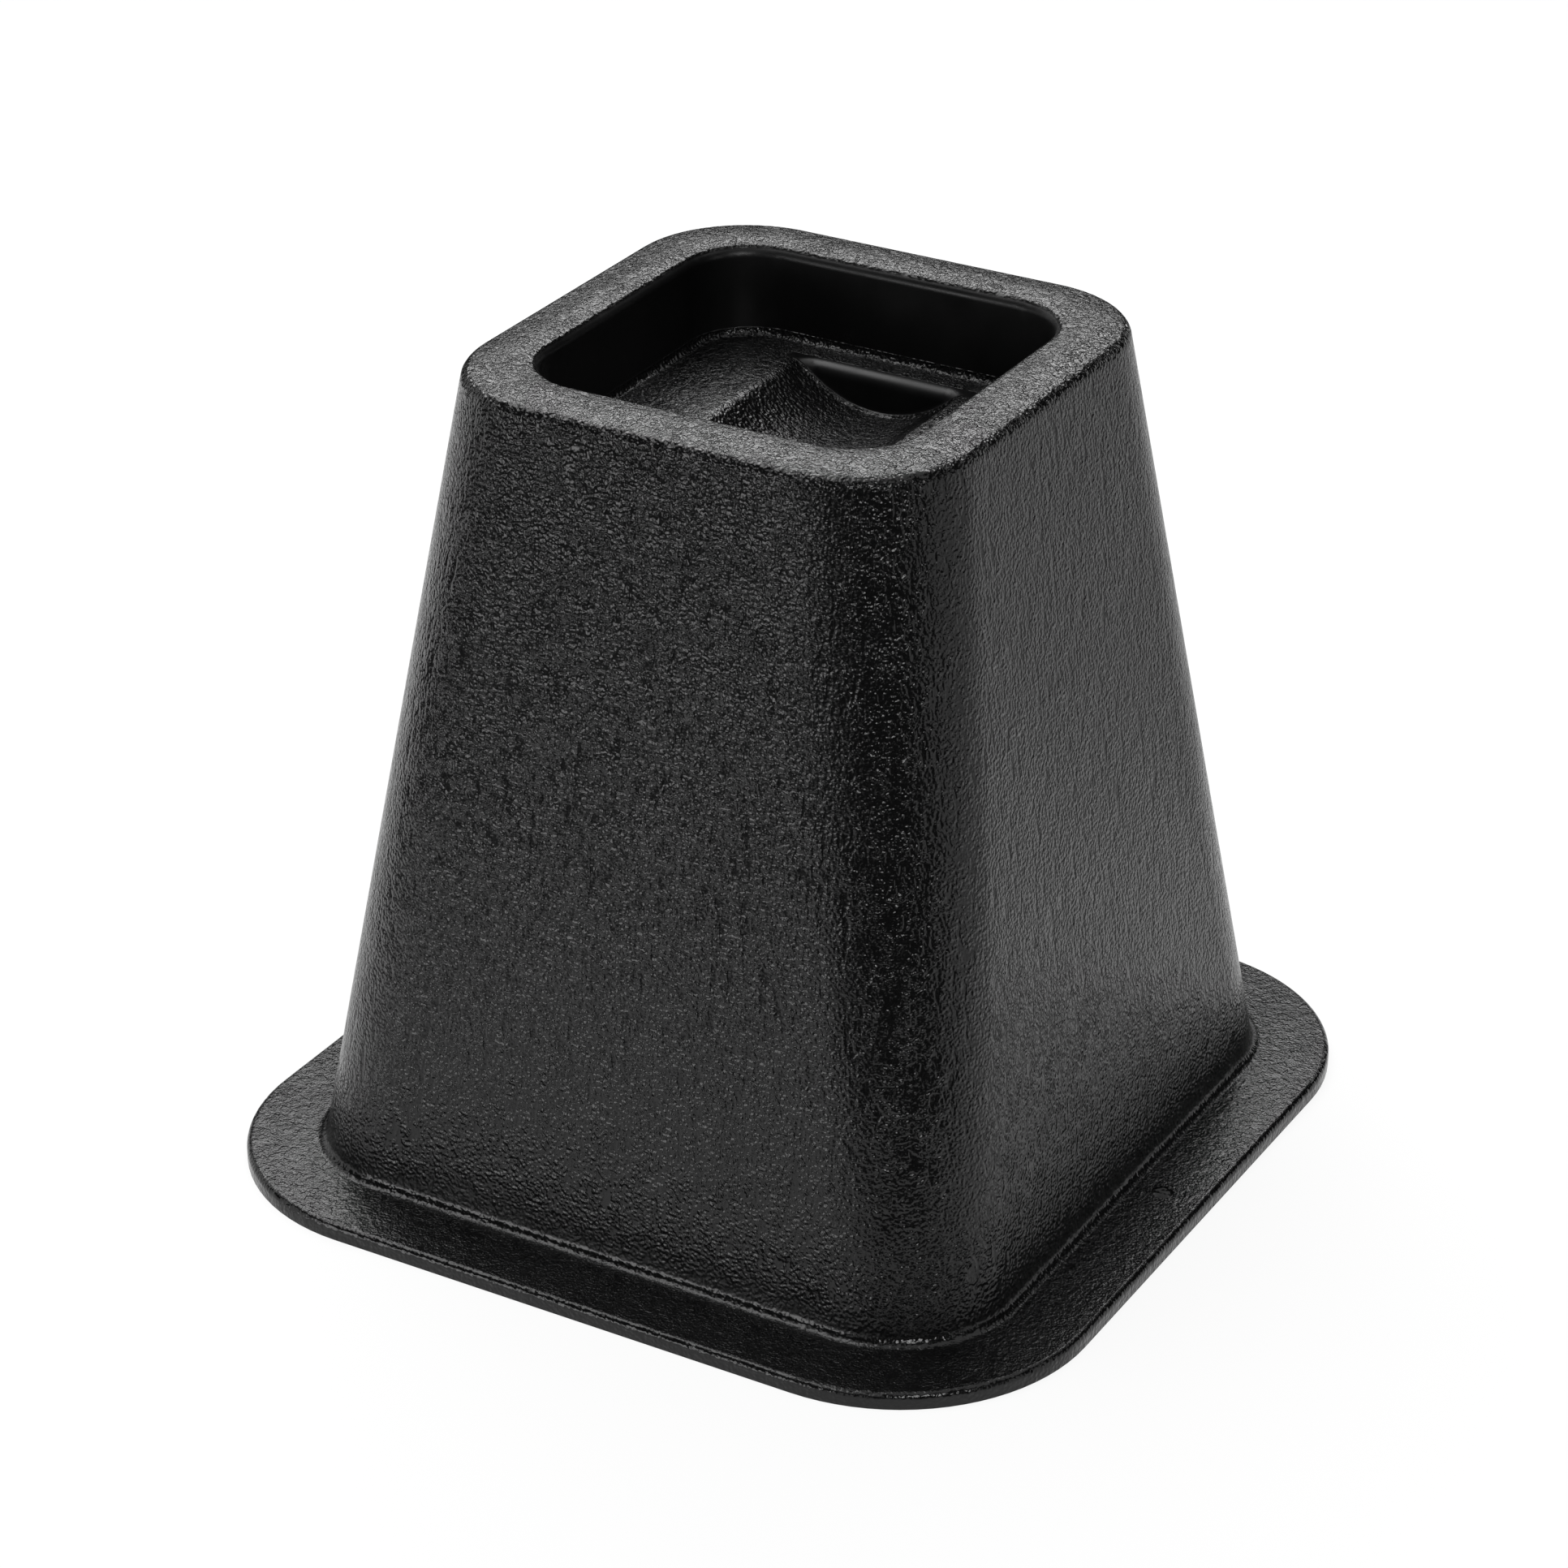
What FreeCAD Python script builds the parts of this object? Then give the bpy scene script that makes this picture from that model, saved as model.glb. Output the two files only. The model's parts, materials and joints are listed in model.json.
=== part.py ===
"""Bed riser: a one-piece moulded block that a bed leg or a castor stands in.

A drafted, hollow square body with rounded corners stands on a flange. The rim on top surrounds a square well
for the leg, and the well's floor has a round-bottomed trough for a castor wheel. A cross of ribs under the
well carries the load to the walls. Z is up, the origin is the centre of the foot, the trough runs along Y and
the flange's screw hole is on the +X side.
"""
import FreeCAD
import Part
import Sketcher
import math
import os

NODE = "riser"

# Driving sizes, in millimetres and degrees.
SIZES = {
    "height": 152.0,
    "draft_angle": 8.1,
    "wall": 3.0,
    "body_corner": 22.2,
    "rim_width": 12.0,
    "rim_slope_width": 5.5,
    "rim_fall": 0.8,
    "rim_round": 2.4,
    "flange_reach": 14.2,
    "flange_thickness": 3.0,
    "flange_corner": 37.0,
    "flange_edge_round": 1.2,
    "root_fillet": 2.0,
    "well_width": 71.6,
    "well_depth": 17.2,
    "well_draft": 0.5,
    "mouth_slope_width": 4.5,
    "mouth_fall": 0.35,
    "well_corner": 12.5,
    "well_wall": 2.8,
    "floor_thickness": 3.2,
    "floor_fillet": 1.5,
    "mouth_round": 2.2,
    "trough_radius": 22.0,
    "trough_depth": 7.6,
    "trough_length": 57.0,
    "trough_wall": 3.0,
    "trough_end_fillet": 1.2,
    "lip_round": 2.5,
    "rib_thickness": 2.5,
    "rib_depth": 32.0,
    "hole_diameter": 4.0,
    "hole_inset": 8.1,
}

# Sizes that follow from the driving ones.
DERIVED = {
    "draft": "tan(draft_angle * 1 deg)",
    "wall_across": "wall / cos(draft_angle * 1 deg)",
    "top_width": "well_width + 2 * rim_width",
    "base_width": "top_width + 2 * height * draft",
    "flange_width": "base_width + 2 * flange_reach",
    "mid_wall_width": "base_width - wall_across",
    "mid_wall_corner": "body_corner - wall / 2",
    "mid_rim_level": "height - wall / 2",
    "rim_edge_level": "height - rim_fall",
    "mouth_level": "height - mouth_fall",
    "floor_level": "height - well_depth",
    "floor_width": "well_width - 2 * well_depth * tan(well_draft * 1 deg)",
    "well_outer_width": "well_width + 2 * well_wall",
    "well_outer_corner": "well_corner + well_wall",
    "well_box_depth": "mid_rim_level - floor_level + floor_thickness",
    "trough_axis_level": "floor_level - trough_depth + trough_radius",
    "trough_outer_radius": "trough_radius + trough_wall",
    "trough_outer_length": "trough_length + 2 * trough_wall",
    "rib_low_level": "floor_level - floor_thickness - rib_depth",
    "rib_low_width": "mid_wall_width - 2 * rib_low_level * draft",
    "rib_top_width": "mid_wall_width - 2 * mid_rim_level * draft",
    "hole_place": "flange_width / 2 - hole_inset",
}

# How near two places have to be to count as the same, in millimetres.
SAME = 0.01

# A sketch's own names for the ends of a line, an arc's centre, its origin point and its two axes.
START, END, CENTRE = 1, 2, 3
ORIGIN = (-1, 1)
LEVEL = (-1,)
UPRIGHT = (-2,)
QUARTER = math.pi / 2


def make_sheet(doc):
    """Spreadsheet with the driving sizes and the formulas that follow from them."""
    sheet = doc.addObject("Spreadsheet::Sheet", "Sizes")
    cells = {name: str(value) for name, value in SIZES.items()}
    cells.update({name: "=" + formula for name, formula in DERIVED.items()})
    for row, (name, content) in enumerate(cells.items(), 1):
        sheet.set(f"A{row}", name)
        sheet.set(f"B{row}", content)
        sheet.setAlias(f"B{row}", name)
    doc.recompute()
    return sheet


def sample_points(edge):
    """First, middle and last point of an edge."""
    first, last = edge.FirstParameter, edge.LastParameter
    return [edge.valueAt(place) for place in (first, (first + last) / 2, last)]


def is_level(edge):
    """Whether an edge lies in one horizontal plane."""
    heights = [point.z for point in sample_points(edge)]
    return max(heights) - min(heights) < SAME


def reach(edge):
    """How far an edge gets from the upright centre planes."""
    return max(max(abs(point.x), abs(point.y)) for point in sample_points(edge))


def at_level(height, nearest=0.0, farthest=math.inf):
    """Test for the level edges at a height whose reach lies between two distances."""
    def wanted(edge):
        at_height = is_level(edge) and abs(edge.Vertexes[0].Z - height) < SAME
        return at_height and nearest - SAME < reach(edge) < farthest + SAME
    return wanted


class Moulding:
    """One PartDesign body, with the operations that the riser is made by."""

    def __init__(self, doc, sheet, label):
        self.doc = doc
        self.sheet = sheet
        self.body = doc.addObject("PartDesign::Body", "Body")
        self.body.Label = label

    def size(self, name):
        """Present value of a sheet cell."""
        return float(getattr(self.sheet, name))

    def plane(self, role):
        """One of the body's own origin planes."""
        return next(item for item in self.body.Origin.OriginFeatures if item.Role == role)

    def sketch(self, name, role, level=None):
        """Empty sketch on an origin plane, moved up to the level in a sheet cell."""
        sketch = self.body.newObject("Sketcher::SketchObject", name)
        sketch.AttachmentSupport = (self.plane(role), [""])
        sketch.MapMode = "FlatFace"
        if level:
            upward = "z" if role == "XY_Plane" else "y"
            sketch.setExpression(f"AttachmentOffset.Base.{upward}", f"Sizes.{level}")
        return sketch

    def hold(self, sketch, kind, *places):
        """Add a constraint without a number to a sketch."""
        sketch.addConstraint(Sketcher.Constraint(kind, *places))

    def measure(self, sketch, kind, size, *places):
        """Add a dimension to a sketch and tie it to a sheet cell."""
        index = sketch.addConstraint(Sketcher.Constraint(kind, *places, self.size(size)))
        name = f"{size}_{index}"
        sketch.renameConstraint(index, name)
        sketch.setExpression(f"Constraints.{name}", f"Sizes.{size}")

    def draw_polygon(self, sketch, points):
        """Closed chain of straight lines, numbered from 0."""
        count = len(points)
        for index, point in enumerate(points):
            sketch.addGeometry(Part.LineSegment(point, points[(index + 1) % count]), False)
        for index in range(count):
            self.hold(sketch, "Coincident", index, END, (index + 1) % count, START)

    def draw_square(self, sketch, width):
        """Sharp square outline, centred on the sketch's origin."""
        half = self.size(width) / 2
        ways = ((-1, -1), (1, -1), (1, 1), (-1, 1))
        self.draw_polygon(sketch, [FreeCAD.Vector(x * half, y * half) for x, y in ways])
        for line, direction in enumerate(("Horizontal", "Vertical") * 2):
            self.hold(sketch, direction, line)
        self.hold(sketch, "Symmetric", 0, START, 2, START, *ORIGIN)
        self.measure(sketch, "DistanceX", width, 0, START, 0, END)
        self.measure(sketch, "DistanceY", width, 1, START, 1, END)

    def draw_rounded_square(self, sketch, width, corner):
        """Square outline with round corners, centred on the sketch's origin."""
        half = self.size(width) / 2
        radius = self.size(corner)
        straight = half - radius
        first = sketch.GeometryCount
        turn = FreeCAD.Rotation(FreeCAD.Vector(0, 0, 1), 90)
        begin, finish = FreeCAD.Vector(-straight, -half), FreeCAD.Vector(straight, -half)
        centre = FreeCAD.Vector(straight, -straight)
        for side in range(4):
            sketch.addGeometry(Part.LineSegment(begin, finish), False)
            circle = Part.Circle(centre, FreeCAD.Vector(0, 0, 1), radius)
            sketch.addGeometry(Part.ArcOfCircle(circle, (side - 1) * QUARTER, side * QUARTER), False)
            begin, finish, centre = [turn.multVec(point) for point in (begin, finish, centre)]
        lines = range(first, first + 8, 2)
        arcs = range(first + 1, first + 8, 2)
        for side in range(4):
            self.hold(sketch, "Tangent", lines[side], END, arcs[side], START)
            self.hold(sketch, "Tangent", arcs[side], END, lines[(side + 1) % 4], START)
            self.hold(sketch, "Vertical" if side % 2 else "Horizontal", lines[side])
        for arc in arcs[1:]:
            self.hold(sketch, "Equal", arcs[0], arc)
        self.hold(sketch, "Symmetric", arcs[0], CENTRE, arcs[2], CENTRE, *ORIGIN)
        self.measure(sketch, "Radius", corner, arcs[0])
        self.measure(sketch, "DistanceX", width, lines[3], START, lines[1], START)
        self.measure(sketch, "DistanceY", width, lines[0], START, lines[2], START)

    def draw_half_disc(self, sketch, radius):
        """Lower half of a disc about the sketch's origin."""
        size = self.size(radius)
        circle = Part.Circle(FreeCAD.Vector(0, 0), FreeCAD.Vector(0, 0, 1), size)
        sketch.addGeometry(Part.ArcOfCircle(circle, 2 * QUARTER, 4 * QUARTER), False)
        sketch.addGeometry(Part.LineSegment(FreeCAD.Vector(size, 0), FreeCAD.Vector(-size, 0)), False)
        self.hold(sketch, "Coincident", 0, END, 1, START)
        self.hold(sketch, "Coincident", 1, END, 0, START)
        self.hold(sketch, "Coincident", 0, CENTRE, *ORIGIN)
        self.hold(sketch, "PointOnObject", 1, START, *LEVEL)
        self.hold(sketch, "Horizontal", 1)
        self.measure(sketch, "Radius", radius, 0)

    def draw_trough_profile(self, sketch, radius, length, corner):
        """Lower half of a drum's lengthwise section with round corners, its axis on the level one."""
        deep, half, curve = self.size(radius), self.size(length) / 2, self.size(corner)
        point = FreeCAD.Vector
        up = point(0, 0, 1)
        low, side = curve - deep, half - curve
        left_circle = Part.Circle(point(-side, low), up, curve)
        right_circle = Part.Circle(point(side, low), up, curve)
        axis, left, left_arc, bottom, right_arc, right = range(6)
        sketch.addGeometry(Part.LineSegment(point(half, 0), point(-half, 0)), False)
        sketch.addGeometry(Part.LineSegment(point(-half, 0), point(-half, low)), False)
        sketch.addGeometry(Part.ArcOfCircle(left_circle, 2 * QUARTER, 3 * QUARTER), False)
        sketch.addGeometry(Part.LineSegment(point(-side, -deep), point(side, -deep)), False)
        sketch.addGeometry(Part.ArcOfCircle(right_circle, 3 * QUARTER, 4 * QUARTER), False)
        sketch.addGeometry(Part.LineSegment(point(half, low), point(half, 0)), False)
        self.hold(sketch, "Coincident", axis, END, left, START)
        self.hold(sketch, "Coincident", right, END, axis, START)
        for piece in (left, left_arc, bottom, right_arc):
            self.hold(sketch, "Tangent", piece, END, piece + 1, START)
        self.hold(sketch, "Horizontal", axis)
        self.hold(sketch, "Vertical", left)
        self.hold(sketch, "Horizontal", bottom)
        self.hold(sketch, "Vertical", right)
        self.hold(sketch, "Equal", left_arc, right_arc)
        self.hold(sketch, "Symmetric", axis, START, axis, END, *ORIGIN)
        self.measure(sketch, "DistanceX", length, axis, END, axis, START)
        self.measure(sketch, "DistanceY", radius, bottom, START, axis, START)
        self.measure(sketch, "Radius", corner, left_arc)

    def feature(self, kind, name, profile=None, **bound):
        """New feature on the body, with properties tied to sheet cells."""
        made = self.body.newObject(f"PartDesign::{kind}", name)
        if profile:
            made.Profile = profile
        for prop, size in bound.items():
            made.setExpression(prop, f"Sizes.{size}")
        return made

    def settle(self, made, grows):
        """Work the model out, and stop if a feature failed or changed the solid the wrong way."""
        self.doc.recompute()
        before = made.BaseFeature.Shape.Volume if made.BaseFeature else 0.0
        shape = made.Shape
        if shape.isNull() or not shape.isValid() or len(shape.Solids) != 1:
            raise RuntimeError(f"{made.Name} is not one sound solid")
        if (shape.Volume > before) != grows:
            raise RuntimeError(f"{made.Name} changed the volume from {before:.1f} to {shape.Volume:.1f}")
        return made

    def slope_edges(self, width, fall, wanted):
        """Slope the level face beside the edges that pass a test, down to the fall in a sheet cell."""
        base = self.body.Tip
        names = [f"Edge{index}" for index, edge in enumerate(base.Shape.Edges, 1) if wanted(edge)]
        made = self.feature("Chamfer", width, Size=width, Size2=fall)
        made.ChamferType = "Two distances"
        made.FlipDirection = True
        made.Base = (base, names)
        return self.settle(made, grows=False)

    def round_edges(self, size, wanted, grows):
        """Round the edges that pass a test, with the radius in the sheet cell that names the feature."""
        base = self.body.Tip
        names = [f"Edge{index}" for index, edge in enumerate(base.Shape.Edges, 1) if wanted(edge)]
        made = self.feature("Fillet", size, Radius=size)
        made.Base = (base, names)
        return self.settle(made, grows)


def add_body(part):
    """Hollow drafted block with rounded corners and a rounded rim."""
    outline = part.sketch("body_outline", "XY_Plane")
    part.draw_square(outline, "base_width")
    block = part.settle(part.feature("Pad", "block", outline, Length="height"), grows=True)
    drafted = part.feature("Draft", "block_draft", Angle="draft_angle")
    sides = [index for index, face in enumerate(block.Shape.Faces, 1) if abs(face.normalAt(0, 0).z) < SAME]
    drafted.Base = (block, [f"Face{index}" for index in sides])
    drafted.NeutralPlane = (part.plane("XY_Plane"), [""])
    part.settle(drafted, grows=False)
    rounded = part.round_edges("body_corner", lambda edge: not is_level(edge), grows=False)
    hollow = part.feature("Thickness", "hollow", Value="wall")
    feet = [index for index, face in enumerate(rounded.Shape.Faces, 1) if abs(face.CenterOfMass.z) < SAME]
    hollow.Base = (rounded, [f"Face{index}" for index in feet])
    hollow.Reversed = True
    part.settle(hollow, grows=False)
    part.slope_edges("rim_slope_width", "rim_fall", at_level(part.size("height")))
    part.round_edges("rim_round", at_level(part.size("rim_edge_level")), grows=False)


def add_flange(part):
    """Flat flange round the foot, with a fillet at its root and soft edges."""
    outline = part.sketch("flange_outline", "XY_Plane")
    part.draw_rounded_square(outline, "flange_width", "flange_corner")
    part.draw_rounded_square(outline, "mid_wall_width", "mid_wall_corner")
    part.settle(part.feature("Pad", "flange", outline, Length="flange_thickness"), grows=True)
    body_reach = part.size("base_width") / 2
    top = part.size("flange_thickness")
    part.round_edges("flange_edge_round", at_level(top, nearest=body_reach), grows=False)
    part.round_edges("root_fillet", at_level(top, farthest=body_reach), grows=True)


def add_well_box(part):
    """Box under the rim that the leg's well is sunk in, with a round belly for the wheel trough."""
    outline = part.sketch("well_box_outline", "XY_Plane", "mid_rim_level")
    part.draw_rounded_square(outline, "well_outer_width", "well_outer_corner")
    box = part.feature("Pad", "well_box", outline, Length="well_box_depth")
    box.Reversed = True
    part.settle(box, grows=True)
    section = part.sketch("trough_belly_section", "XZ_Plane", "trough_axis_level")
    part.draw_half_disc(section, "trough_outer_radius")
    belly = part.feature("Pad", "trough_belly", section, Length="trough_outer_length")
    belly.Midplane = True
    part.settle(belly, grows=True)


def add_rib(part, role):
    """Upright rib on a centre plane, from wall to wall and from the rim to below the well."""
    outline = part.sketch(f"rib_outline_{role[:2]}", role)
    low, top = part.size("rib_low_level"), part.size("mid_rim_level")
    low_half, top_half = part.size("rib_low_width") / 2, part.size("rib_top_width") / 2
    corners = ((-low_half, low), (low_half, low), (top_half, top), (-top_half, top))
    part.draw_polygon(outline, [FreeCAD.Vector(x, y) for x, y in corners])
    for line in (0, 2):
        part.hold(outline, "Symmetric", line, START, line, END, *UPRIGHT)
    part.measure(outline, "DistanceX", "rib_low_width", 0, START, 0, END)
    part.measure(outline, "DistanceX", "rib_top_width", 2, END, 2, START)
    part.measure(outline, "DistanceY", "rib_low_level", *ORIGIN, 0, START)
    part.measure(outline, "DistanceY", "mid_rim_level", *ORIGIN, 2, START)
    rib = part.feature("Pad", f"rib_{role[:2]}", outline, Length="rib_thickness")
    rib.Midplane = True
    part.settle(rib, grows=True)


def cut_well(part):
    """Leg well with the wheel trough in its floor, and the rounded edges of both."""
    outline = part.sketch("well_outline", "XY_Plane", "height")
    part.draw_rounded_square(outline, "well_width", "well_corner")
    well = part.feature("Pocket", "well", outline, Length="well_depth")
    well.setExpression("TaperAngle", "-Sizes.well_draft")
    part.settle(well, grows=False)
    profile = part.sketch("trough_profile", "YZ_Plane", "trough_axis_level")
    part.draw_trough_profile(profile, "trough_radius", "trough_length", "trough_end_fillet")
    trough = part.feature("Groove", "trough", profile)
    trough.ReferenceAxis = (profile, ["H_Axis"])
    trough.Midplane = True
    trough.Angle = 180
    part.settle(trough, grows=False)
    floor, floor_reach = part.size("floor_level"), part.size("floor_width") / 2
    part.round_edges("lip_round", at_level(floor, farthest=floor_reach - 2 * SAME), grows=False)
    part.round_edges("floor_fillet", at_level(floor, nearest=floor_reach), grows=True)
    half_mouth = part.size("well_width") / 2
    part.slope_edges("mouth_slope_width", "mouth_fall", at_level(part.size("height"), farthest=half_mouth))
    part.round_edges("mouth_round", at_level(part.size("mouth_level"), farthest=half_mouth), grows=False)


def drill_flange(part):
    """Screw hole through the flange, in the middle of its +X side."""
    centre = FreeCAD.Vector(part.size("hole_place"), 0)
    circle = part.sketch("hole_circle", "XY_Plane", "flange_thickness")
    circle.addGeometry(Part.Circle(centre, FreeCAD.Vector(0, 0, 1), part.size("hole_diameter") / 2), False)
    part.hold(circle, "PointOnObject", 0, CENTRE, *LEVEL)
    part.measure(circle, "DistanceX", "hole_place", *ORIGIN, 0, CENTRE)
    part.measure(circle, "Diameter", "hole_diameter", 0)
    part.settle(part.feature("Pocket", "hole", circle, Length="flange_thickness"), grows=False)


def check_document(doc):
    """Stop if any object of the document failed or a sketch is left loose."""
    for item in doc.Objects:
        if "Invalid" in item.State or "Error" in item.State:
            raise RuntimeError(f"{item.Name} failed: {item.State}")
        if item.isDerivedFrom("Sketcher::SketchObject") and not item.FullyConstrained:
            raise RuntimeError(f"{item.Name} is not fully constrained")


def main():
    """Build the riser and write its solid."""
    doc = FreeCAD.newDocument("BedRiser")
    part = Moulding(doc, make_sheet(doc), NODE)
    add_body(part)
    add_flange(part)
    add_well_box(part)
    for role in ("XZ_Plane", "YZ_Plane"):
        add_rib(part, role)
    cut_well(part)
    drill_flange(part)
    doc.recompute()
    check_document(doc)
    shape = part.body.Shape
    if shape.isNull() or not shape.isValid():
        raise RuntimeError("the riser is not a sound solid")
    os.makedirs("parts", exist_ok=True)
    shape.exportStep(f"parts/{part.body.Label}.step")
    print(f"{part.body.Label}: {len(shape.Solids)} solid, {shape.Volume / 1000:.1f} cm3")


main()
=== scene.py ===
"""Looks of a bed riser: black moulded plastic with a spark-eroded grain, on a white studio floor."""
import json
import logging
import math
from dataclasses import dataclass, field
from enum import Enum
from typing import Any, Mapping, Union

import bpy
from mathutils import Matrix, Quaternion, Vector

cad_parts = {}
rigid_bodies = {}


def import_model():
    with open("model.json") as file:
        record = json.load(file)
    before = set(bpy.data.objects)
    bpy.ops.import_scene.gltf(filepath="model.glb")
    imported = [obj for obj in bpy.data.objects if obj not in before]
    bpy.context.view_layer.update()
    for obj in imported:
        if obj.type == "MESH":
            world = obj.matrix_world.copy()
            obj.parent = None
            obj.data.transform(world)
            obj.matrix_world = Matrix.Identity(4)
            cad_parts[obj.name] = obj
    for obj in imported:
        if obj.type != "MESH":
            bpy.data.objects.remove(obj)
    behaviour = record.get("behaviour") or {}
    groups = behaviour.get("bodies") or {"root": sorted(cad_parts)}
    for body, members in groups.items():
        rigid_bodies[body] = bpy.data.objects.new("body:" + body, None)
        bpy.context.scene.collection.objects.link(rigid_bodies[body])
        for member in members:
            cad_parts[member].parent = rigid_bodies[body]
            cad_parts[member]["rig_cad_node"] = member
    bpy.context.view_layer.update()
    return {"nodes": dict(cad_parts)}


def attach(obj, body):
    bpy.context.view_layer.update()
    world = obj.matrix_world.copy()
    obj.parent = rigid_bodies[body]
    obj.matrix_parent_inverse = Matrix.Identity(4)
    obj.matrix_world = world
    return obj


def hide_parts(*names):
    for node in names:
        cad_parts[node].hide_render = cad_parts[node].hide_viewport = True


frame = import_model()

log = logging.getLogger("riser")

Point = tuple[float, float, float]
Colour = tuple[float, float, float, float]
Span = tuple[float, float]
Number = Union[float, "Value"]

MM = 0.001
WHITE: Colour = (1.0, 1.0, 1.0, 1.0)


class Value:
    """Number that a shader works out, with the usual signs of arithmetic."""

    def __init__(self, graph: "Graph", socket: bpy.types.NodeSocket) -> None:
        """Wrap an output socket of a graph."""
        self.graph = graph
        self.socket = socket

    def __add__(self, other: Number) -> "Value":
        """Sum."""
        return self.graph.math("ADD", self, other)

    def __sub__(self, other: Number) -> "Value":
        """Difference."""
        return self.graph.math("SUBTRACT", self, other)

    def __mul__(self, other: Number) -> "Value":
        """Product."""
        return self.graph.math("MULTIPLY", self, other)

    def __radd__(self, other: Number) -> "Value":
        """Sum with a plain number first."""
        return self.graph.math("ADD", other, self)

    def __rsub__(self, other: Number) -> "Value":
        """Difference from a plain number."""
        return self.graph.math("SUBTRACT", other, self)

    def __rmul__(self, other: Number) -> "Value":
        """Product with a plain number first."""
        return self.graph.math("MULTIPLY", other, self)

    def __abs__(self) -> "Value":
        """Size without its sign."""
        return self.graph.math("ABSOLUTE", self)

    def at_least(self, other: Number) -> "Value":
        """Larger of two values."""
        return self.graph.math("MAXIMUM", self, other)

    def at_most(self, other: Number) -> "Value":
        """Smaller of two values."""
        return self.graph.math("MINIMUM", self, other)

    def root(self) -> "Value":
        """Square root."""
        return self.graph.math("SQRT", self)

    def between(self, low: Number, high: Number) -> "Value":
        """Mix of two values: the low one at 0 and the high one at 1."""
        return low + (high - low) * self

    def rise(self, low: float, high: float) -> "Value":
        """Smooth step.

        Args:
            low: Value at which the step leaves 0.
            high: Value at which it reaches 1.

        Returns:
            The step, between 0 and 1.
        """
        settings = {"interpolation_type": "SMOOTHSTEP"}
        inputs = {"Value": self, "From Min": low, "From Max": high}
        made = self.graph.node("ShaderNodeMapRange", settings, inputs)
        return Value(self.graph, made.outputs["Result"])


class Graph:
    """Node tree of a material or the world, filled from Python."""

    def __init__(self, tree: bpy.types.NodeTree) -> None:
        """Start with an empty tree."""
        self.tree = tree
        tree.nodes.clear()

    def node(self, kind: str, settings: Mapping[str, Any], inputs: Mapping[Any, Any]) -> bpy.types.Node:
        """Add a node.

        Args:
            kind: Blender's name of the node's type.
            settings: Properties of the node, which are set first.
            inputs: Constant, value or socket for each named or numbered input.

        Returns:
            The new node.
        """
        made = self.tree.nodes.new(kind)
        for name, setting in settings.items():
            setattr(made, name, setting)
        for key, given in inputs.items():
            if isinstance(given, Value):
                given = given.socket
            if isinstance(given, bpy.types.NodeSocket):
                self.tree.links.new(given, made.inputs[key])
            else:
                made.inputs[key].default_value = given
        return made

    def math(self, operation: str, *terms: Number) -> Value:
        """Add a Math node.

        Args:
            operation: Blender's name of the operation.
            terms: Its one or two terms.

        Returns:
            The result.
        """
        made = self.node("ShaderNodeMath", {"operation": operation}, dict(enumerate(terms)))
        return Value(self, made.outputs[0])

    def parts(self, vector: bpy.types.NodeSocket) -> tuple[Value, Value, Value]:
        """Split a vector.

        Args:
            vector: Socket that gives it.

        Returns:
            Its three components.
        """
        made = self.node("ShaderNodeSeparateXYZ", {}, {"Vector": vector})
        return tuple(Value(self, socket) for socket in made.outputs)

    def background_rays(self) -> Value:
        """Tell the rays that show the background.

        Returns:
            1 for camera, glossy and transmission rays.
        """
        path = self.node("ShaderNodeLightPath", {}, {}).outputs
        camera, glossy, through = (
            Value(self, path[f"Is {kind} Ray"]) for kind in ("Camera", "Glossy", "Transmission")
        )
        return camera.at_least(glossy).at_least(through)


@dataclass(frozen=True)
class Mottle:
    """Random pattern of rounded blotches: so many to the metre, with so many finer layers."""

    scale: float
    detail: float

    def draw(self, graph: Graph, place: bpy.types.NodeSocket) -> Value:
        """Add the pattern to a graph.

        Args:
            graph: Material's node tree.
            place: Socket with the coordinates.

        Returns:
            The pattern, between 0 and 1.
        """
        inputs = {"Vector": place, "Scale": self.scale, "Detail": self.detail}
        made = graph.node("ShaderNodeTexNoise", {"noise_dimensions": "3D"}, inputs)
        return Value(graph, made.outputs["Fac"])


@dataclass(frozen=True)
class ShellSizes:
    """Sizes of the moulded solid that its finish follows, in metres."""

    height: float = 152.0 * MM
    draft: float = math.tan(math.radians(8.1))
    wall: float = 3.0 * MM
    corner: float = 22.2 * MM
    rim_width: float = 12.0 * MM
    half_well: float = 35.8 * MM
    well_corner: float = 12.5 * MM
    well_depth: float = 17.2 * MM
    floor_fillet: float = 1.5 * MM
    mouth_round: float = 2.2 * MM
    trough_depth: float = 7.6 * MM
    half_trough: float = 28.5 * MM
    half_trough_mouth: float = 19.0 * MM
    lip_round: float = 2.5 * MM

    @property
    def half_base(self) -> float:
        """Half the width of the drafted body at the foot."""
        return self.half_well + self.rim_width + self.draft * self.height

    @property
    def floor_level(self) -> float:
        """Height of the well's floor."""
        return self.height - self.well_depth

    @property
    def under_trough(self) -> float:
        """Height in the middle of the wall below the trough."""
        return self.floor_level - self.trough_depth - self.wall / 2.0


def past_square(x: Value, y: Value, half: Number, corner: float) -> Value:
    """Measure how far a place lies outside an upright square with round corners.

    Args:
        x: Place along X.
        y: Place along Y.
        half: Half the square's width.
        corner: Radius of its corners.

    Returns:
        The distance, below 0 inside.
    """
    past_x = abs(x) - half + corner
    past_y = abs(y) - half + corner
    out_x, out_y = past_x.at_least(0.0), past_y.at_least(0.0)
    within = past_x.at_least(past_y).at_most(0.0)
    return (out_x * out_x + out_y * out_y).root() + within - corner


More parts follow.
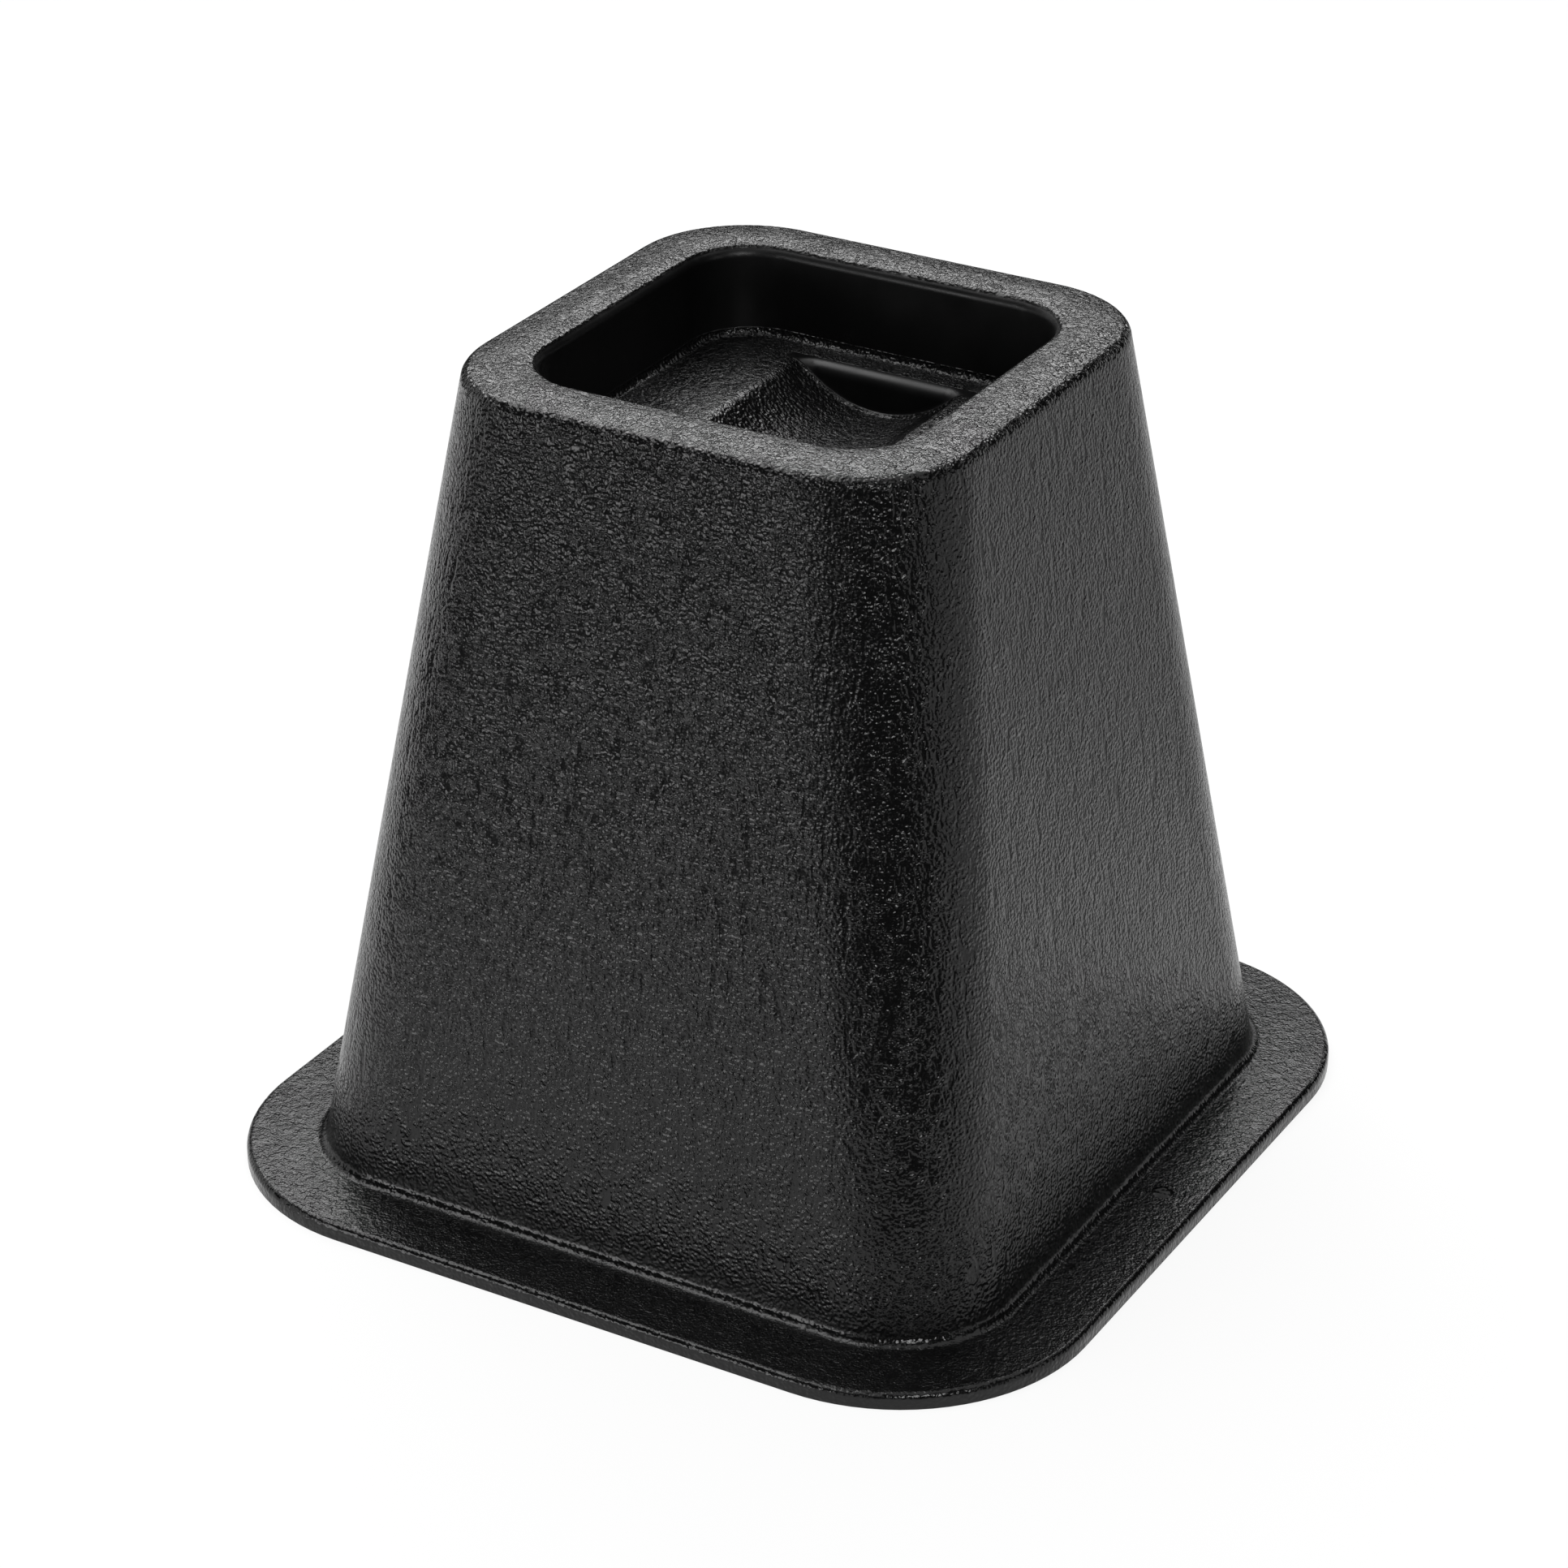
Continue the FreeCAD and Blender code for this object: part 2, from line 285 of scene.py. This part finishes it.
@dataclass(frozen=True)
class Grain:
    """Relief that the eroded mould leaves: rolling on steep faces, and etched in steps on level ones.

    Strengths are shares of the depth. Rolling and etched have one for the foot and one for the body above it.
    """

    depth: float = 0.25 * MM
    foot: Span = (4.0 * MM, 12.0 * MM)
    level_lean: Span = (0.85, 0.98)
    rolling: Mottle = Mottle(1596.0, 0.5)
    rolling_strength: Span = (0.6, 1.5)
    coarse: Mottle = Mottle(882.0, 1.0)
    coarse_edge: Span = (0.42, 0.58)
    fine: Mottle = Mottle(2310.0, 1.0)
    fine_edge: Span = (0.4, 0.6)
    fine_share: float = 0.7
    etched_strength: Span = (0.2, 0.53)
    drift: Mottle = Mottle(240.0, 3.0)
    drift_strength: Span = (0.35, 1.65)
    wear: Mottle = Mottle(600.0, 2.0)
    wear_stretch: Point = (1.0, 1.0, 0.3)
    wear_edge: Span = (0.52, 0.72)
    worn_strength: float = 0.3

    def relief(self, graph: Graph, place: bpy.types.NodeSocket, lean: Value) -> Value:
        """Draw the relief, calmer at the foot and flattened in upright worn streaks.

        Args:
            graph: Material's node tree.
            place: Object coordinates.
            lean: Upward share of the surface's normal.

        Returns:
            Height of the relief, as a share of the depth.
        """
        upright = graph.node("ShaderNodeMapping", {}, {"Vector": place, "Scale": self.wear_stretch})
        worn = self.wear.draw(graph, upright.outputs["Vector"]).rise(*self.wear_edge)
        strength = self.drift.draw(graph, place).between(*self.drift_strength)
        strength = strength * worn.between(1.0, self.worn_strength)
        above_foot = graph.parts(place)[2].rise(*self.foot)
        rolling = above_foot.between(*self.rolling_strength) * self.rolling.draw(graph, place)
        coarse = self.coarse.draw(graph, place).rise(*self.coarse_edge)
        fine = self.fine.draw(graph, place).rise(*self.fine_edge)
        etched = above_foot.between(*self.etched_strength) * (coarse + self.fine_share * fine)
        return strength * lean.rise(*self.level_lean).between(rolling, etched)


@dataclass(frozen=True)
class MouldedPlastic:
    """Black plastic with a spark-eroded grain outside, and smooth satin where the mould was polished.

    The soft edge, the leans of the surface, the shares of the mouth's rounding and the lap over the trough's
    ends bound the grained faces.
    """

    name: str = "black_moulded_plastic"
    colour: Colour = (0.002, 0.002, 0.0021, 1.0)
    specular: float = 0.33
    smooth_roughness: float = 0.36
    grain_roughness: float = 0.2
    patches: Mottle = Mottle(70.0, 3.0)
    smooth_patchiness: float = 0.4
    grain_patchiness: float = 0.1
    grain: Grain = Grain()
    soft_edge: float = 0.2 * MM
    underside_lean: Span = (-0.6, -0.3)
    upright_lean: Span = (-0.05, 0.05)
    mouth_shares: Span = (0.25, 0.6)
    trough_end_lap: float = 0.3 * MM

    def make(self, sizes: ShellSizes) -> bpy.types.Material:
        """Build the material.

        Args:
            sizes: Sizes that tell the grained faces from the smooth ones.

        Returns:
            The new material.
        """
        material = bpy.data.materials.new(self.name)
        material.use_nodes = True
        graph = Graph(material.node_tree)
        place = graph.node("ShaderNodeTexCoord", {}, {}).outputs["Object"]
        lean = graph.parts(graph.node("ShaderNodeNewGeometry", {}, {}).outputs["Normal"])[2]
        grained = self.grained(graph, place, lean, sizes)
        height = self.grain.relief(graph, place, lean) * grained
        relief = {"Height": height, "Distance": self.grain.depth, "Strength": 1.0}
        bump = graph.node("ShaderNodeBump", {}, relief)
        patchiness = grained.between(self.smooth_patchiness, self.grain_patchiness)
        roughness = grained.between(self.smooth_roughness, self.grain_roughness)
        inputs = {
            "Base Color": self.colour,
            "Roughness": roughness + patchiness * (self.patches.draw(graph, place) - 0.5),
            "Specular IOR Level": self.specular,
            "Normal": bump.outputs["Normal"],
        }
        shader = graph.node("ShaderNodeBsdfPrincipled", {}, inputs)
        graph.node("ShaderNodeOutputMaterial", {}, {"Surface": shader.outputs["BSDF"]})
        return material

    def grained(self, graph: Graph, place: bpy.types.NodeSocket, lean: Value, sizes: ShellSizes) -> Value:
        """Find the faces that carry the grain.

        Args:
            graph: Material's node tree.
            place: Object coordinates.
            lean: Upward share of the surface's normal.
            sizes: Sizes of the riser.

        Returns:
            1 on the outside, the rim, the well's floor and the trough, and 0 on the well's walls, at the
            trough's ends and on the underside.
        """
        x, y, z = graph.parts(place)
        soft = self.soft_edge
        from_wall = past_square(x, y, sizes.half_base - sizes.draft * z, sizes.corner)
        outside = (from_wall + sizes.wall / 2.0).rise(0.0, soft) * lean.rise(*self.underside_lean)
        from_well = past_square(x, y, sizes.half_well, sizes.well_corner)
        rim = from_well.rise(*(share * sizes.mouth_round for share in self.mouth_shares))
        across = (sizes.half_trough_mouth - abs(x)).rise(0.0, soft)
        past_end = (abs(y) - sizes.half_trough + self.trough_end_lap).rise(0.0, soft)
        before_lip = (sizes.half_trough + sizes.lip_round - abs(y)).rise(0.0, soft)
        below_wall = (sizes.floor_level + sizes.floor_fillet + soft / 2.0 - z).rise(0.0, soft)
        floor = below_wall * (1.0 - across * past_end * before_lip)
        top_side = z.rise(sizes.under_trough, sizes.under_trough + soft) * lean.rise(*self.upright_lean)
        return outside.at_least(top_side * rim.at_least(floor))


@dataclass
class Riser:
    """The riser itself: the one moulded piece, dressed in its plastic."""

    node: str = "riser"
    body: str = "root"
    merge_distance: float = 0.002 * MM
    sharp_angle: float = math.radians(32.0)
    face_weight: int = 90
    sizes: ShellSizes = field(default_factory=ShellSizes)
    finish: MouldedPlastic = field(default_factory=MouldedPlastic)

    def build(self) -> bpy.types.Object:
        """Copy the moulded solid, join its faces and smooth its shading.

        Returns:
            The new piece.
        """
        solid = frame["nodes"][self.node]
        bpy.ops.object.select_all(action="DESELECT")
        solid.select_set(True)
        bpy.context.view_layer.objects.active = solid
        bpy.ops.object.duplicate()
        shell = bpy.context.view_layer.objects.active
        shell.name = "riser_shell"
        del shell["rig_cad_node"]
        bpy.ops.object.mode_set(mode="EDIT")
        bpy.ops.mesh.customdata_custom_splitnormals_clear()
        bpy.ops.mesh.select_all(action="SELECT")
        bpy.ops.mesh.remove_doubles(threshold=self.merge_distance)
        bpy.ops.object.mode_set(mode="OBJECT")
        bpy.ops.object.shade_smooth_by_angle(angle=self.sharp_angle)
        bpy.ops.object.modifier_add(type="WEIGHTED_NORMAL")
        weighted = shell.modifiers[-1]
        weighted.keep_sharp = True
        weighted.weight = self.face_weight
        bpy.ops.object.modifier_apply(modifier=weighted.name)
        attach(shell, self.body)
        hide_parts(self.node)
        return shell

    def dress(self, shell: bpy.types.Object) -> None:
        """Give the shell its plastic.

        Args:
            shell: Piece to dress.
        """
        shell.data.materials.clear()
        shell.data.materials.append(self.finish.make(self.sizes))


def direction(azimuth: float, elevation: float) -> Vector:
    """Unit vector from the object.

    Args:
        azimuth: Degrees round from -Y towards +X.
        elevation: Degrees above the horizon.

    Returns:
        The vector.
    """
    turn, lift = math.radians(azimuth), math.radians(elevation)
    return Vector((math.sin(turn) * math.cos(lift), -math.cos(turn) * math.cos(lift), math.sin(lift)))


class Rays(Enum):
    """Which rays meet a thing of the studio."""

    ALL_BUT_CAMERA = "all_but_camera"
    REFLECTIONS = "reflections"

    def apply(self, thing: bpy.types.Object) -> None:
        """Set the ray switches of an object.

        Args:
            thing: Lamp, card or sheet of painted floor shade of the studio.
        """
        thing.visible_camera = False
        if self is Rays.REFLECTIONS:
            thing.visible_diffuse = False
            thing.visible_shadow = False
            thing.visible_transmission = False
            thing.visible_volume_scatter = False


@dataclass(frozen=True)
class MattePaint:
    """Plain matte grey of the studio's cards and of its sheets of painted floor shade, with the share of the
    light that it throws back.
    """

    name: str
    grey: float

    def make(self) -> bpy.types.Material:
        """Build the material.

        Returns:
            The new material.
        """
        material = bpy.data.materials.new(self.name)
        material.use_nodes = True
        graph = Graph(material.node_tree)
        matte = graph.node("ShaderNodeBsdfDiffuse", {}, {"Color": (self.grey, self.grey, self.grey, 1.0)})
        graph.node("ShaderNodeOutputMaterial", {}, {"Surface": matte.outputs[0]})
        return material


@dataclass(frozen=True)
class PaleFloor:
    """Matte floor that keeps the riser's shadow, with the share of plain white that the camera sees in it."""

    name: str = "white_floor"
    colour: Colour = (0.9, 0.9, 0.9, 1.0)
    whiteness: float = 0.88

    def make(self) -> bpy.types.Material:
        """Build the material.

        Returns:
            The new material.
        """
        material = bpy.data.materials.new(self.name)
        material.use_nodes = True
        graph = Graph(material.node_tree)
        matte = graph.node("ShaderNodeBsdfDiffuse", {}, {"Color": self.colour})
        glow = graph.node("ShaderNodeEmission", {}, {"Color": WHITE, "Strength": 1.0})
        inputs = {0: graph.background_rays() * self.whiteness, 1: matte.outputs[0], 2: glow.outputs[0]}
        mixed = graph.node("ShaderNodeMixShader", {}, inputs)
        graph.node("ShaderNodeOutputMaterial", {}, {"Surface": mixed.outputs[0]})
        return material


@dataclass(frozen=True)
class Softbox:
    """Flat lamp that faces the object.

    Angles are in degrees and lengths in metres, and a brightness of 1 is that of the white background.
    """

    name: str
    azimuth: float
    elevation: float
    distance: float
    width: float
    height: float
    brightness: float

    def place(self, aim: Vector) -> bpy.types.Object:
        """Hang the lamp.

        Args:
            aim: Point that it faces.

        Returns:
            The lamp.
        """
        data = bpy.data.lights.new(self.name, "AREA")
        data.shape = "RECTANGLE"
        data.size = self.width
        data.size_y = self.height
        data.energy = self.brightness * math.pi * self.width * self.height
        lamp = bpy.data.objects.new(self.name, data)
        bpy.context.scene.collection.objects.link(lamp)
        back = direction(self.azimuth, self.elevation)
        lamp.location = aim + back * self.distance
        lamp.rotation_mode = "QUATERNION"
        lamp.rotation_quaternion = (-back).to_track_quat("-Z", "Y")
        Rays.ALL_BUT_CAMERA.apply(lamp)
        return lamp


@dataclass(frozen=True)
class CardOrPaintedShade:
    """Matte card bent round the object, lying or standing, which only reflections show; a lying one is
    painted shade on the floor.

    It spans two arcs between the same two azimuths, in degrees. Each arc is given by its radius and height.
    """

    name: str
    start: float
    end: float
    inner: Span
    outer: Span
    grey: float
    steps: int = 24

    def place(self) -> bpy.types.Object:
        """Set up the card, or the sheet of painted floor shade.

        Returns:
            The card, or the sheet of painted floor shade.
        """
        bpy.ops.object.select_all(action="DESELECT")
        bpy.ops.mesh.primitive_grid_add(x_subdivisions=self.steps, y_subdivisions=1, size=2.0)
        card_or_shade = bpy.context.view_layer.objects.active
        card_or_shade.name = self.name
        for corner in card_or_shade.data.vertices:
            turn = self.start + (self.end - self.start) * (corner.co.x + 1.0) / 2.0
            radius, height = self.outer if corner.co.y > 0.0 else self.inner
            corner.co = direction(turn, 0.0) * radius + Vector((0.0, 0.0, height))
        card_or_shade.data.materials.append(MattePaint(self.name, self.grey).make())
        Rays.REFLECTIONS.apply(card_or_shade)
        return card_or_shade


# Radius that most cards reach, height of a lying sheet of painted floor shade and of a standing card's foot,
# and grey of black cloth.
FAR = 1.1
SHADE_SHEET_HEIGHT = 0.5 * MM
FOOT = 1.0 * MM
BLACK = 0.02


@dataclass
class Studio:
    """White floor, soft lamps, cards for the reflections with sheets of painted floor shade among them, and a
    plain light from all round.
    """

    floor_size: float = 12.0
    floor: PaleFloor = field(default_factory=PaleFloor)
    surround: float = 0.55
    aim: Point = (0.0, 0.0, 0.07)
    lamps: tuple[Softbox, ...] = (
        Softbox("low_softbox", -27.0, 6.0, distance=1.1, width=0.5, height=0.34, brightness=4.6),
        Softbox("front_softbox", 44.0, 30.0, distance=1.0, width=0.3, height=0.25, brightness=11.0),
        Softbox("back_softbox", 213.0, 43.0, distance=0.66, width=0.62, height=0.34, brightness=5.1),
        Softbox("top_softbox", -88.0, 64.0, distance=1.2, width=0.75, height=0.65, brightness=3.6),
    )
    cards_and_painted_shade: tuple[CardOrPaintedShade, ...] = (
        # Lying sheets that only reflections show: painted shade of the floor at the riser's left and front.
        CardOrPaintedShade("left_floor_shade", start=-85.0, end=10.0, inner=(0.24, SHADE_SHEET_HEIGHT), outer=(FAR, SHADE_SHEET_HEIGHT), grey=0.05),
        CardOrPaintedShade("front_floor_shade", start=10.0, end=78.0, inner=(0.17, SHADE_SHEET_HEIGHT), outer=(FAR, SHADE_SHEET_HEIGHT), grey=0.04),
        CardOrPaintedShade("front_flag", start=12.0, end=78.0, inner=(FAR, FOOT), outer=(FAR, 0.7), grey=BLACK),
        CardOrPaintedShade("front_hood", start=12.0, end=95.0, inner=(FAR, 0.7), outer=(0.7, 1.35), grey=BLACK),
        CardOrPaintedShade("left_hood", start=-85.0, end=12.0, inner=(FAR, 0.4), outer=(0.85, 1.15), grey=BLACK),
        # Lying sheet that only reflections show: painted shade that greys the floor at the right and back.
        CardOrPaintedShade("right_floor_shade", start=95.0, end=190.0, inner=(0.19, SHADE_SHEET_HEIGHT), outer=(FAR, SHADE_SHEET_HEIGHT), grey=0.54),
        CardOrPaintedShade("right_flag", start=95.0, end=182.0, inner=(FAR, 0.2), outer=(0.95, 1.0), grey=BLACK),
        CardOrPaintedShade("back_flag", start=182.0, end=255.0, inner=(0.55, FOOT), outer=(0.55, 0.31), grey=BLACK),
    )

    def build(self) -> None:
        """Lay the floor, set up the cards and the sheets of painted floor shade, hang the lamps and set the
        surroundings.
        """
        self.lay_floor()
        for card_or_shade in self.cards_and_painted_shade:
            log.info("card %s", card_or_shade.place().name)
        for softbox in self.lamps:
            lamp = softbox.place(Vector(self.aim))
            log.info("lamp %s at %s", lamp.name, [round(v, 2) for v in lamp.location])
        self.set_world()

    def lay_floor(self) -> None:
        """Lay a wide pale floor under the riser."""
        bpy.ops.object.select_all(action="DESELECT")
        bpy.ops.mesh.primitive_plane_add(size=self.floor_size)
        floor = bpy.context.view_layer.objects.active
        floor.name = "studio_floor"
        floor.data.materials.append(self.floor.make())

    def set_world(self) -> None:
        """Surround the object with a plain light that looks white."""
        world = bpy.data.worlds.new("studio")
        world.use_nodes = True
        graph = Graph(world.node_tree)
        strength = graph.background_rays().between(self.surround, 1.0)
        sky = graph.node("ShaderNodeBackground", {}, {"Color": WHITE, "Strength": strength})
        graph.node("ShaderNodeOutputWorld", {}, {"Surface": sky.outputs[0]})
        bpy.context.scene.world = world


@dataclass(frozen=True)
class Shot:
    """Camera at the photograph's angle.

    Angles are in degrees and lengths in metres, apart from the lens and the sensor, which are in millimetres.
    """

    azimuth: float = 29.947
    elevation: float = 27.76
    roll: float = 0.0994
    target: Point = (-0.002204, -0.001269, 0.065749)
    distance: float = 0.85451
    lens: float = 108.86
    sensor: float = 36.0

    def take(self) -> bpy.types.Object:
        """Set up the camera.

        Returns:
            The camera.
        """
        data = bpy.data.cameras.new("camera")
        data.lens = self.lens
        data.sensor_width = self.sensor
        camera = bpy.data.objects.new("camera", data)
        bpy.context.scene.collection.objects.link(camera)
        back = direction(self.azimuth, self.elevation)
        camera.location = Vector(self.target) + back * self.distance
        camera.rotation_mode = "QUATERNION"
        turn = Quaternion((0.0, 0.0, 1.0), math.radians(self.roll))
        camera.rotation_quaternion = (-back).to_track_quat("-Z", "Y") @ turn
        bpy.context.scene.camera = camera
        return camera


def main() -> None:
    """Build the riser, the studio and the camera."""
    logging.basicConfig(level=logging.INFO, format="%(name)s: %(message)s")
    bpy.context.scene.view_settings.view_transform = "Standard"
    riser = Riser()
    shell = riser.build()
    riser.dress(shell)
    log.info("piece %s with %d faces", shell.name, len(shell.data.polygons))
    Studio().build()
    Shot().take()


if __name__ == "__main__":
    main()
